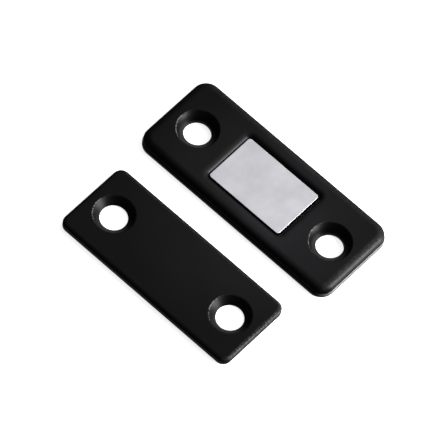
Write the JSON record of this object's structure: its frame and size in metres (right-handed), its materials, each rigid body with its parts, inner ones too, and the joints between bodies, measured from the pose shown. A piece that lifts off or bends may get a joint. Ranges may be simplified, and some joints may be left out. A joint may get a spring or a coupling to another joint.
{
  "type": "magnetic door catch",
  "caption": "Ultra-thin magnetic door catch: a black countersunk plate with an inset block magnet, and a flat black steel strike that closes face to face with it.",
  "frame": {"origin": "back face of the magnet plate, midway between its screw holes", "axes": "+X along both plates, +Y across the plates and away from the strike as it lies open, +Z out of the magnet's face"},
  "size_m": [0.045, 0.0402, 0.0024],
  "materials": {
    "back_plate_paint": "satin black electrocoat on steel",
    "cured_adhesive": "cured amber epoxy film",
    "nickel_plating": "satin bright nickel plating",
    "cover_paint": "satin black electrocoat on pressed steel",
    "strike_paint": "satin black electrocoat on steel"
  },
  "bodies": {
    "magnet_plate": {"back_plate": "back_plate_paint", "adhesive_film": "cured_adhesive", "block_magnet": "nickel_plating", "magnet_cover": "cover_paint"},
    "strike": {"strike_plate": "strike_paint"}
  },
  "joints": [
    {"name": "door_swing", "type": "hinge", "parent": "magnet_plate", "child": "strike", "pos_m": [0, -0.01148, 0.00198], "axis": [-1, 0, 0], "range_deg": [0, 180]}
  ]
}
